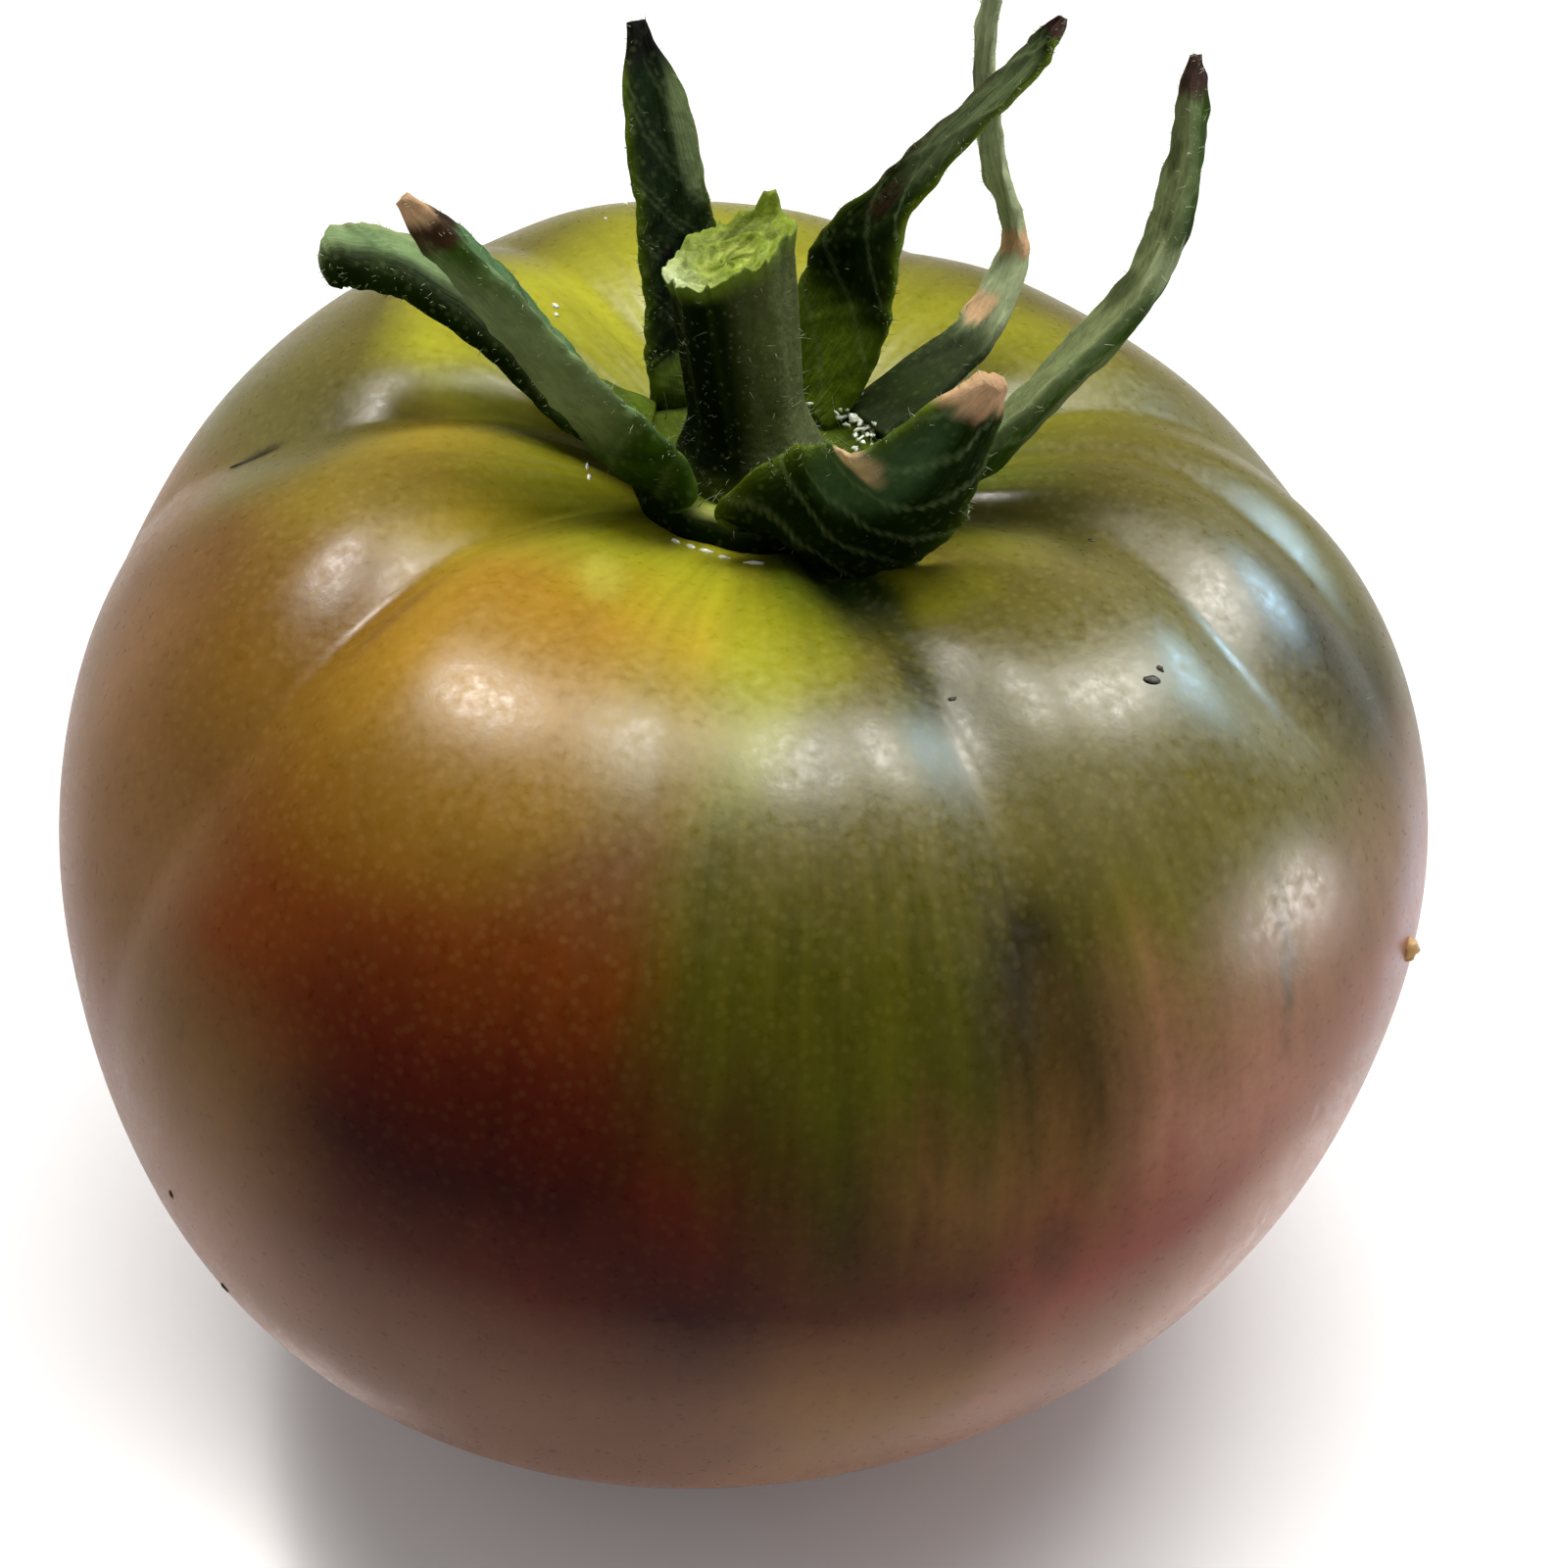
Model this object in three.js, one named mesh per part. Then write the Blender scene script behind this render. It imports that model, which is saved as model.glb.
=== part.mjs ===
// A ribbed slicing tomato on its blossom end, with its green calyx and a cut stub of stem.
// Millimetres, +Z up. A turn is counted anticlockwise from +X, and a dip down from the crown.

import * as THREE from "three";
import { ParametricGeometry } from "three/addons/geometries/ParametricGeometry.js";

const { clamp, degToRad, euclideanModulo, lerp, smoothstep } = THREE.MathUtils;

// Fruit. A fullness of 1 gives an ellipse, and less gives a squarer side.
const fruitRadius = 44;
const crownHeight = 34; // from the widest level up to the crown, before the hollow sinks it
const bellyDepth = 42.7; // from the widest level down to the blossom end, before it is flattened
const sideFullness = 0.886;
const crownFullness = 0.869;
const bellyFullness = 0.899;
const hollowDepth = 10.3; // the stem end's hollow
const hollowRadius = 17.6;
const flatSpotRadius = 14; // the spot that the fruit rests on
const lean = degToRad(3.84); // of the whole fruit towards +X

// Swellings of the plan, each with its count round the fruit and the turn of one high point.
const planWaves = [
  { count: 2, swell: 0.0225, turn: 106 },
  { count: 3, swell: 0.0314, turn: -12 },
];

// Grooves between the lobes: they start at the hollow and run out at the foot, a dip.
const grooveHead = degToRad(5);
const grooveFull = degToRad(22); // from here on a groove has its whole depth
const grooveFade = degToRad(35); // from here on it gets shallower
const grooves = [
  { turn: 15, depth: 1.4, spread: 9, foot: 78 },
  { turn: 70, depth: 0.9, spread: 9, foot: 75 },
  { turn: 123, depth: 1.3, spread: 9, foot: 75 },
  { turn: 177, depth: 1.6, spread: 9, foot: 82 },
  { turn: 219, depth: 1.4, spread: 8, foot: 110 },
  { turn: 260, depth: 0.4, spread: 8, foot: 75 },
  { turn: 292, depth: 1.5, spread: 8, foot: 95 },
  { turn: 331, depth: 1.0, spread: 7, foot: 75 },
  { turn: 352, depth: 1.1, spread: 7, foot: 75 },
];

// Calyx hub, which lies on the floor of the hollow, and the stub of stem that stands on it
const seatGap = 0.3; // between one piece and the next that it sits on
const hubRadius = 8;
const hubThickness = 1.8;
const hubEdge = 4; // the higher, the squarer the hub's rim
const stemFootRadius = 4.3;
const stemRadius = 3.5;
const stemFlare = 5; // height over which the foot narrows to the stem
const stemHeight = 16; // from the floor of the hollow to the middle of the cut
const stemLean = degToRad(-9.5); // towards +X
const cutSlope = degToRad(27); // the cut rises towards +X

// Sepals. Each starts at the hub's rim, and its points give the turn, how far out of that rim
// and how far above the floor of the hollow the middle of the blade lies.
const rootThickness = 1.8;
const tipThickness = 0.9;
const rootWidth = 5;
const rootLength = 0.2; // share of the length over which the root widens to the blade
const rootClearance = 0.6; // space under a root, whose edges dip a little
const bladeClearance = 0.9; // least space under a blade past its root
const bladeTilt = 0.6; // rise over run of the way that a blade's inner face looks at the stem
const rootTurned = 0.3; // how much of that run is there at the root, which lies flatter
const sepals = [
  {
    name: "sepal_left_back",
    root: 172,
    width: 5.6,
    tipWidth: 4.4,
    taper: 0.5,
    fold: 0.15,
    points: [
      [172, 3.2, 4.6],
      [171, 7.5, 8.2],
      [172, 12.5, 11],
      [172, 16, 11.4],
      [172, 17.9, 10.8],
    ],
  },
  {
    name: "sepal_left",
    root: 228,
    width: 6.6,
    tipWidth: 2,
    taper: 0.5,
    fold: 0.3,
    points: [
      [215, 2.2, 7],
      [207, 4.9, 10.6],
      [201, 8.3, 15.8],
      [196, 12.2, 20.8],
    ],
  },
  {
    name: "sepal_back_left",
    root: 128,
    width: 5.2,
    tipWidth: 1,
    taper: 0.4,
    fold: 0.2,
    points: [
      [128, 0.2, 6.5],
      [127, 1.2, 11],
      [125, 3.3, 15.5],
      [123, 8, 22.8],
    ],
  },
  {
    name: "sepal_back_right",
    root: 62,
    width: 6.2,
    tipWidth: 1,
    taper: 1.3,
    fold: 0.2,
    points: [
      [52, 0.3, 9],
      [46, 0.5, 14],
      [37, 3.2, 19],
      [28, 7.3, 24.4],
      [26, 8.4, 27],
    ],
  },
  {
    name: "sepal_right_back",
    root: 23,
    width: 4.6,
    tipWidth: 1,
    taper: 1.6,
    fold: 0.2,
    points: [
      [28, 5.6, 7],
      [36, 9.4, 11.6],
      [41, 8.8, 17.4],
      [45, 8.2, 23],
      [46, 9, 31],
    ],
  },
  {
    name: "sepal_right",
    root: 326,
    width: 6,
    tipWidth: 1.4,
    taper: 0.5,
    fold: 0.2,
    points: [
      [333, 4.5, 6],
      [345, 8.5, 11.3],
      [355, 12, 17],
      [361, 13, 23],
      [364, 12.4, 27.7],
    ],
  },
  {
    name: "sepal_front",
    root: 274,
    width: 8,
    tipWidth: 3,
    taper: 0.5,
    fold: 0.15,
    points: [
      [283, 2.6, 5],
      [291, 4.3, 7.2],
      [299, 5.8, 10.2],
      [308, 8.6, 17],
    ],
  },
];

// Facets
const fruitFacets = { around: 64, along: 32 };
const hubFacets = { around: 32, along: 12 };
const stemFacets = { around: 20, along: 12 };
const sepalFacets = { around: 12, along: 20 };

// A closed body from place(turn, share, target), which puts one point for each turn round the
// body and each share of the way from its lower or root pole (0) to its upper or tip pole (1).
function closedBody({ around, along }, place) {
  const point = (u, v, target) => place(2 * Math.PI * u, v, target);
  return new ParametricGeometry(point, around, along);
}

// Multiplier of the radius that makes the plan less than round.
function planScale(turn) {
  const swells = planWaves.map((wave) => {
    return wave.swell * Math.cos(wave.count * (turn - degToRad(wave.turn)));
  });
  return swells.reduce((sum, swell) => sum + swell, 1);
}

// The shorter way round from one turn to another.
function turnBetween(from, to) {
  return euclideanModulo(to - from + Math.PI, 2 * Math.PI) - Math.PI;
}

// How far the grooves sink the skin at one place.
function grooveSink(turn, dip) {
  const start = smoothstep(dip, grooveHead, grooveFull);
  const sinks = grooves.map((groove) => {
    const away = turnBetween(degToRad(groove.turn), turn) / degToRad(groove.spread);
    const end = 1 - smoothstep(dip, grooveFade, degToRad(groove.foot));
    return groove.depth * start * end * Math.exp(-(away ** 2));
  });
  return sinks.reduce((sum, sink) => sum + sink, 0);
}

// Height above the widest level of the smooth belly, or of the crown with the hollow sunk into it.
function profileHeight(dip, radius) {
  const level = Math.cos(dip);
  if (level < 0) return -bellyDepth * (-level) ** bellyFullness;
  return crownHeight * level ** crownFullness - hollowDepth * Math.exp(-((radius / hollowRadius) ** 2));
}

// The dip, less than a right angle from its pole, at which the smooth fruit has a radius.
function dipAt(radius) {
  return Math.asin((radius / fruitRadius) ** (1 / sideFullness));
}

// Depth below the widest level at which the belly is as wide as the flat spot.
const restDepth = bellyDepth * Math.cos(dipAt(flatSpotRadius)) ** bellyFullness;

// One point of the skin: a squarish oval, its grooves sunk towards the middle of the fruit.
function skinPoint(turn, dip, target) {
  const radius = fruitRadius * Math.abs(Math.sin(dip)) ** sideFullness;
  const height = profileHeight(dip, radius);
  const shrink = 1 - grooveSink(turn, dip) / Math.hypot(radius, height);
  const reach = radius * planScale(turn) * shrink;
  return target.set(reach * Math.cos(turn), reach * Math.sin(turn), height * shrink);
}

// The skin at a distance from the crown's axis, lifted by a height.
function aboveHollow(turn, reach, lift, target) {
  skinPoint(turn, dipAt(reach / planScale(turn)), target);
  target.z += lift;
  return target;
}

const hollowFloor = skinPoint(0, 0, new THREE.Vector3()).z;

// The fruit from its blossom end to its crown, pushed up to a level flat spot where it rests.
function fruitGeometry() {
  const upwards = new THREE.Vector3(-Math.sin(lean), 0, Math.cos(lean));
  return closedBody(fruitFacets, (turn, share, target) => {
    skinPoint(turn, Math.PI * (1 - share), target);
    const sunk = -restDepth - target.dot(upwards);
    target.addScaledVector(upwards, Math.max(sunk, 0));
  });
}

// The hub: a round pad that follows the skin, from the middle of its underside to its top.
function hubTop(share) {
  return seatGap + hubThickness * Math.sqrt(1 - share ** hubEdge);
}

function hubGeometry() {
  return closedBody(hubFacets, (turn, share, target) => {
    const outwards = 1 - Math.abs(2 * share - 1);
    const lift = share > 0.5 ? hubTop(outwards) : seatGap;
    aboveHollow(turn, hubRadius * outwards, lift, target);
  });
}

// The stub: a foot that follows the hub's top, a flared and leaning side, and a slanted cut.
function stemGeometry() {
  const footEnd = 0.2; // share of the way at which the underside gives way to the side
  const sideEnd = 0.8; // share of the way at which the side gives way to the cut
  return closedBody(stemFacets, (turn, share, target) => {
    const outwards = Math.min(share / footEnd, (1 - share) / (1 - sideEnd), 1);
    const climb = clamp((share - footEnd) / (sideEnd - footEnd), 0, 1);
    const narrow = smoothstep(climb * stemHeight, 0, stemFlare);
    const radius = outwards * lerp(stemFootRadius, stemRadius, narrow);
    const x = radius * Math.cos(turn);
    const y = radius * Math.sin(turn);
    const foot = aboveHollow(turn, radius, hubTop(radius / hubRadius) + seatGap, target).z;
    const shift = climb * stemHeight * Math.tan(stemLean);
    const rise = climb * (stemHeight + x * Math.tan(cutSlope));
    target.set(x + shift, y, lerp(foot, hollowFloor, climb) + rise);
  });
}

// Where one sepal's middle line runs, from the hub's rim to its tip.
function sepalCurve({ root, points }) {
  const half = rootThickness / 2;
  const start = new THREE.Vector3();
  aboveHollow(degToRad(root), hubRadius + seatGap + half, rootClearance + half, start);
  const rest = points.map(([turn, out, rise]) => {
    const place = new THREE.Vector3();
    aboveHollow(degToRad(turn), hubRadius + out, bladeClearance + half, place);
    return place.setZ(Math.max(place.z, hollowFloor + rise));
  });
  return new THREE.CatmullRomCurve3([start, ...rest], false, "centripetal");
}

// How much of the change from root to blade is over at a share of the length.
function pastRoot(along) {
  return smoothstep(along, 0, rootLength);
}

// The middle of a blade, the way across it, and the way that its inner face looks.
function bladeFrame(curve, along) {
  const middle = curve.getPoint(along);
  const forwards = curve.getTangent(along);
  const turned = lerp(rootTurned, 1, pastRoot(along));
  const facing = new THREE.Vector3(-middle.x, -middle.y, 0).setLength(turned).setZ(bladeTilt);
  const sideways = facing.cross(forwards).normalize();
  return { middle, sideways, inwards: forwards.cross(sideways) };
}

function bladeWidth(sepal, along) {
  const blade = lerp(sepal.tipWidth, sepal.width, (1 - along) ** sepal.taper);
  return lerp(rootWidth, blade, pastRoot(along));
}

// A sepal: a lens-shaped section carried from root to tip, its edges folded up by a share of
// its width. The first and last rings shrink to a point and close the ends.
function sepalGeometry(sepal) {
  const curve = sepalCurve(sepal);
  const capShare = 1 / sepalFacets.along;
  return closedBody(sepalFacets, (angle, share, target) => {
    const along = clamp((share - capShare) / (1 - 2 * capShare), 0, 1);
    const size = Math.min(share, 1 - share) < capShare / 2 ? 0 : 0.5;
    const { middle, sideways, inwards } = bladeFrame(curve, along);
    const width = size * bladeWidth(sepal, along);
    const thickness = size * lerp(rootThickness, tipThickness, along);
    const fold = 2 * sepal.fold * width * pastRoot(along) * Math.cos(angle) ** 2;
    target.copy(middle);
    target.addScaledVector(sideways, width * Math.cos(angle));
    target.addScaledVector(inwards, thickness * Math.sin(angle) + fold);
  });
}

// Finishes
const skinFinish = { color: 0x86602f, roughness: 0.3, metalness: 0 };
const leafFinish = { color: 0x46602f, roughness: 0.75, metalness: 0 };
const stemFinish = { color: 0x5f7a38, roughness: 0.8, metalness: 0 };

function piece(name, geometry, finish) {
  const mesh = new THREE.Mesh(geometry, new THREE.MeshStandardMaterial(finish));
  mesh.name = name;
  return mesh;
}

// Everything grows about the fruit's own axis, then leans with it.
const grown = new THREE.Group();
grown.rotation.y = lean;
grown.add(piece("fruit", fruitGeometry(), skinFinish));
grown.add(piece("calyx_hub", hubGeometry(), leafFinish));
grown.add(piece("stem_stub", stemGeometry(), stemFinish));
for (const sepal of sepals) grown.add(piece(sepal.name, sepalGeometry(sepal), leafFinish));

// The origin is the middle of the whole tomato's plan, at the level that it rests on.
const box = new THREE.Box3().setFromObject(grown, true);
const middle = box.getCenter(new THREE.Vector3());
grown.position.set(-middle.x, -middle.y, -box.min.z);

const tomato = new THREE.Group();
tomato.add(grown);

export default tomato;
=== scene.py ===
# The looks of a ribbed dark slicing tomato: its grown skin, its green calyx and the cut stub of stem.
# Lengths in the dictionaries are millimetres and angles degrees. A turn runs anticlockwise from +X,
# so the front is 270, and a dip runs down from the crown to the blossom end.
import math

import bpy
import numpy as np
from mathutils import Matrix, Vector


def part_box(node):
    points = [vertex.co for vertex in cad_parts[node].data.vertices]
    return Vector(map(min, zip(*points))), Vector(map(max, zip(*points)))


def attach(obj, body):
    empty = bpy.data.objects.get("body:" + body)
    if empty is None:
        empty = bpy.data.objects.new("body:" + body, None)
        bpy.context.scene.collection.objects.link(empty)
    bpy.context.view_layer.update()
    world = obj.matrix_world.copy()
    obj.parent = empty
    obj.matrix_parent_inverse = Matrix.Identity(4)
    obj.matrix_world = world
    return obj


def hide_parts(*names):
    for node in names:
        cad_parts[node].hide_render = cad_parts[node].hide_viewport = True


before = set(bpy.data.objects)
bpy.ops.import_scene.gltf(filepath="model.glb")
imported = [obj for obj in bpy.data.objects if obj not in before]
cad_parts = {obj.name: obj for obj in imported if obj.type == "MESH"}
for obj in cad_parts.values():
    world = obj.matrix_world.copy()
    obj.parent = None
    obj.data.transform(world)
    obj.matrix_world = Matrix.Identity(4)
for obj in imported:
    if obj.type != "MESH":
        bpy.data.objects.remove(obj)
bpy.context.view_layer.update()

mm = 0.001
tau = 2 * math.pi


# small helpers
def tone(red, green, blue):
    # a colour given on a scale of 0 to 255, as the linear values that shaders use
    c = np.array([red, green, blue], float) / 255
    return np.where(c <= 0.04045, c / 12.92, ((c + 0.055) / 1.055) ** 2.4)


def ease(x, start, end):
    # 0 before start, 1 after end, and a smooth S between
    t = np.clip((np.asarray(x, float) - start) / (end - start), 0, 1)
    return t * t * (3 - 2 * t)


def turnsApart(a, b):
    # the shorter way round from turn b to turn a, in degrees
    return (a - b + 180) % 360 - 180


def blend(a, b, share):
    # a where share is 0, b where it is 1, and in proportion between
    return a + (b - a) * share


def ripple(phase, seed, waves=5):
    # an even wandering between about -1 and 1: sine waves of rising pace and falling size
    rng = np.random.default_rng(seed)
    total = np.zeros_like(np.asarray(phase, float))
    for k in range(1, waves + 1):
        total = total + np.sin(k * phase + rng.uniform(0, tau)) / k ** 0.7
    return total / 2


def unit(v):
    # each vector over its own length
    return v / np.maximum(np.linalg.norm(v, axis=-1, keepdims=True), 1e-9)


def addMesh(name, points, faces, material, paints):
    # points in millimetres, with faces as lists of corner numbers and one value per point for each paint
    mesh = bpy.data.meshes.new(name)
    mesh.from_pydata((points * mm).tolist(), [], faces)
    mesh.validate()
    mesh.polygons.foreach_set("use_smooth", np.ones(len(mesh.polygons), bool))
    for label, values in paints.items():
        values = np.asarray(values, np.float32)
        if values.ndim == 1:
            mesh.attributes.new(label, "FLOAT", "POINT").data.foreach_set("value", values)
        elif label == "paint":
            rgba = np.concatenate([values, np.ones((len(values), 1), np.float32)], 1)
            mesh.attributes.new(label, "FLOAT_COLOR", "POINT").data.foreach_set("color", rgba.ravel())
        else:
            mesh.attributes.new(label, "FLOAT_VECTOR", "POINT").data.foreach_set("vector", values.ravel())
    mesh.materials.append(material)
    thing = bpy.data.objects.new(name, mesh)
    bpy.context.scene.collection.objects.link(thing)
    return thing


def ringFaces(rows, columns, count=1):
    # quads between neighbouring rings of points, then a fan to one more point at each end, for count bodies
    i, j = np.meshgrid(np.arange(rows - 1), np.arange(columns), indexing="ij")
    here = i * columns + j
    beside = i * columns + (j + 1) % columns
    quads = np.stack([here, here + columns, beside + columns, beside], -1).reshape(-1, 4)
    k = np.arange(columns)
    after = (k + 1) % columns
    first, last = rows * columns, rows * columns + 1
    low = (rows - 1) * columns
    top = np.stack([np.full(columns, first), k, after], 1)
    end = np.stack([low + k, np.full(columns, last), low + after], 1)
    shift = (np.arange(count) * (rows * columns + 2))[:, None, None]
    fans = np.concatenate([top, end])
    return (quads + shift).reshape(-1, 4).tolist() + (fans + shift).reshape(-1, 3).tolist()


def ringBody(name, rings, material, ends=None, **paints):
    # rings is rows by columns of points. The body is closed by a point at the middle of each end ring
    rows, columns = rings.shape[:2]
    caps = [rings[0].mean(0), rings[-1].mean(0)] if ends is None else ends
    points = np.concatenate([rings.reshape(-1, 3), np.array(caps)])
    spread = {}
    for label, values in paints.items():
        flat = values.reshape(rows * columns, -1)
        tips = np.stack([values[0].reshape(columns, -1).mean(0), values[-1].reshape(columns, -1).mean(0)])
        spread[label] = np.concatenate([flat, tips])
        if flat.shape[1] == 1:
            spread[label] = spread[label][:, 0]
    return addMesh(name, points, ringFaces(rows, columns), material, spread)


# shader helpers
def newGroup(name, inputs, outputs):
    # an empty node group with its sockets, which are pairs of name and kind
    tree = bpy.data.node_groups.new(name, "ShaderNodeTree")
    for label, kind in inputs:
        tree.interface.new_socket(name=label, in_out="INPUT", socket_type="NodeSocket" + kind)
    for label, kind in outputs:
        tree.interface.new_socket(name=label, in_out="OUTPUT", socket_type="NodeSocket" + kind)
    return tree, tree.nodes.new("NodeGroupInput"), tree.nodes.new("NodeGroupOutput")


def addNode(tree, kind, settings=None, **inputs):
    # inputs are sockets or values, by socket name with spaces as underscores, or by number as n0, n1
    node = tree.nodes.new("ShaderNode" + kind)
    for key, value in (settings or {}).items():
        setattr(node, key, value)
    for key, value in inputs.items():
        numbered = key[0] == "n" and key[1:].isdigit()
        socket = node.inputs[int(key[1:]) if numbered else key.replace("_", " ")]
        if isinstance(value, bpy.types.NodeSocket):
            tree.links.new(value, socket)
        else:
            socket.default_value = value
    return node


def mixColour(tree, share, a, b):
    # sockets 0, 6 and 7 are the share and the two colours, and 2 is the mixed colour
    return addNode(tree, "Mix", {"data_type": "RGBA"}, n0=share, n6=a, n7=b).outputs[2]


def rgba(colour):
    return (*[float(x) for x in colour], 1.0)


# flecks: small round dots, wherever the middle of a cell lies close to the surface
flecks, given, made = newGroup(
    "flecks",
    [("Place", "Vector"), ("Fineness", "Float"), ("Level", "Float"), ("Amount", "Float")],
    [("Mask", "Float")],
)
cells = addNode(flecks, "TexVoronoi", Vector=given.outputs["Place"], Scale=given.outputs["Fineness"])
inside = addNode(flecks, "Math", {"operation": "SUBTRACT"}, n0=given.outputs["Level"],
                 n1=cells.outputs["Distance"])
soft = addNode(flecks, "Math", {"operation": "MULTIPLY", "use_clamp": True}, n0=inside.outputs[0], n1=5.0)
shown = addNode(flecks, "Math", {"operation": "MULTIPLY"}, n0=soft.outputs[0], n1=given.outputs["Amount"])
flecks.links.new(shown.outputs[0], made.inputs["Mask"])

# mottle: a slow uneven cloudiness around zero
mottle, given, made = newGroup(
    "mottle", [("Place", "Vector"), ("Size", "Float"), ("Amount", "Float")], [("Value", "Float")]
)
cloud = addNode(mottle, "TexNoise", Vector=given.outputs["Place"], Scale=given.outputs["Size"],
                Detail=3.0, Roughness=0.6)
centred = addNode(mottle, "Math", {"operation": "SUBTRACT"}, n0=cloud.outputs["Fac"], n1=0.5)
sized = addNode(mottle, "Math", {"operation": "MULTIPLY"}, n0=centred.outputs[0], n1=given.outputs["Amount"])
mottle.links.new(sized.outputs[0], made.inputs["Value"])


def useGroup(tree, group, **inputs):
    node = tree.nodes.new("ShaderNodeGroup")
    node.node_tree = group
    for key, value in inputs.items():
        if isinstance(value, bpy.types.NodeSocket):
            tree.links.new(value, node.inputs[key])
        else:
            node.inputs[key].default_value = value
    return node.outputs[0]


def plainMaterial(name, colour, roughness, shine=0.5):
    material = bpy.data.materials.new(name)
    material.use_nodes = True
    shader = material.node_tree.nodes["Principled BSDF"]
    shader.inputs["Base Color"].default_value = rgba(colour)
    shader.inputs["Roughness"].default_value = roughness
    shader.inputs["Specular IOR Level"].default_value = shine
    return material


def grownMaterial(name, look):
    # paint from the mesh, clouded and streaked darker or lighter, with pale flecks and a fine bump
    material = bpy.data.materials.new(name)
    material.use_nodes = True
    tree = material.node_tree
    shader = tree.nodes["Principled BSDF"]
    place = addNode(tree, "TexCoord").outputs["Object"]
    paint = addNode(tree, "Attribute", {"attribute_name": "paint"}).outputs["Color"]
    grow = addNode(tree, "Attribute", {"attribute_name": "grow"}).outputs["Vector"]
    streaky = addNode(tree, "Attribute", {"attribute_name": "streaky"}).outputs["Fac"]
    flecked = addNode(tree, "Attribute", {"attribute_name": "flecked"}).outputs["Fac"]
    broad = useGroup(tree, mottle, Place=place, Size=look["cloudSize"], Amount=look["cloud"])
    fine = useGroup(tree, mottle, Place=place, Size=look["grainSize"], Amount=look["grain"])
    streakAmount = addNode(tree, "Math", {"operation": "MULTIPLY"}, n0=streaky, n1=look["streak"])
    lines = useGroup(tree, mottle, Place=grow, Size=look["streakSize"], Amount=streakAmount.outputs[0])
    both = addNode(tree, "Math", {"operation": "ADD"}, n0=broad, n1=fine)
    every = addNode(tree, "Math", {"operation": "ADD"}, n0=both.outputs[0], n1=lines)
    value = addNode(tree, "Math", {"operation": "ADD"}, n0=every.outputs[0], n1=1.0)
    uneven = addNode(tree, "HueSaturation", Color=paint, Value=value.outputs[0])
    dots = useGroup(tree, flecks, Place=place, Fineness=look["fleckSize"],
                    Level=look["fleckLevel"], Amount=flecked)
    colour = mixColour(tree, dots, uneven.outputs["Color"], rgba(look["fleckColour"]))
    tree.links.new(colour, shader.inputs["Base Color"])
    rough = addNode(tree, "Math", {"operation": "ADD"}, n0=fine, n1=look["roughness"])
    tree.links.new(rough.outputs[0], shader.inputs["Roughness"])
    relief = useGroup(tree, mottle, Place=place, Size=look["bumpSize"], Amount=1.0)
    ribs = useGroup(tree, mottle, Place=grow, Size=look["streakSize"], Amount=look["ribs"])
    height = addNode(tree, "Math", {"operation": "ADD"}, n0=relief, n1=ribs)
    bump = addNode(tree, "Bump", Strength=look["bump"], Distance=look["bumpDepth"] * mm,
                   Height=height.outputs[0])
    tree.links.new(bump.outputs["Normal"], shader.inputs["Normal"])
    for socket, number in look["shader"].items():
        shader.inputs[socket].default_value = number
    return material


# the fruit
fruit = {
    "radius": 44,
    "crownHeight": 34,
    "bellyDepth": 42.7,
    "sideFullness": 0.886,
    "crownFullness": 0.869,
    "bellyFullness": 0.899,
    "hollowDepth": 10.3,
    "hollowRadius": 17.6,
    "flatSpotRadius": 14,
    "lean": 3.84,
    "planWaves": [(2, 0.0225, 106), (3, 0.0314, -12)],  # count, swell, turn of a high point
    "grooveHead": 5,
    "grooveFull": 22,
    "grooveFade": 35,
    "creaseWidth": 2.2,
    "creaseShape": 1.6,
    "around": 384,
    "along": 216,
    "poleGap": 0.6,
}
# Each groove is a wide valley with a narrower crease in it. Its course is (dip, turn).
grooves = [
    {"course": [(10, 16), (40, 14), (70, 12)], "depth": 1.4, "spread": 9, "foot": 78, "crease": 0.25},
    {"course": [(10, 72), (40, 69), (70, 71)], "depth": 0.9, "spread": 9, "foot": 75, "crease": 0.2},
    {"course": [(10, 121), (40, 124), (70, 122)], "depth": 1.3, "spread": 9, "foot": 75, "crease": 0.25},
    {"course": [(19, 171), (28, 178), (42, 179), (57, 175)],
     "depth": 1.6, "spread": 9, "foot": 82, "crease": 0.3},
    {"course": [(11, 208), (18, 212), (24, 217), (40, 219), (68, 219), (92, 217)],
     "depth": 1.4, "spread": 8, "foot": 110, "crease": 0.45},
    {"course": [(10, 258), (60, 261)], "depth": 0.4, "spread": 8, "foot": 75, "crease": 0.05},
    {"course": [(13, 288), (19, 292), (37, 292), (65, 294), (79, 293)],
     "depth": 1.5, "spread": 8, "foot": 95, "crease": 0.15},
    {"course": [(17, 336), (21, 340), (31, 332), (43, 330), (53, 331)],
     "depth": 1.0, "spread": 7, "foot": 75, "crease": 0.2},
    {"course": [(26, 362), (34, 358), (44, 352), (60, 342)],
     "depth": 1.1, "spread": 7, "foot": 75, "crease": 0.2},
]


def planScale(turn):
    # 1 plus one cosine wave round the plan for each swelling
    return 1 + sum(s * np.cos(np.radians(n * (turn - t))) for n, s, t in fruit["planWaves"])


def grooveAway(groove, turn, dip):
    # how far a turn lies from the groove's middle line, a smooth curve through its course
    dips, turns = np.array(groove["course"], float).T
    bend = np.polyfit(dips, turns, min(3, len(dips) - 1))
    return turnsApart(turn, np.polyval(bend, np.clip(dip, dips[0], dips[-1])))


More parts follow.
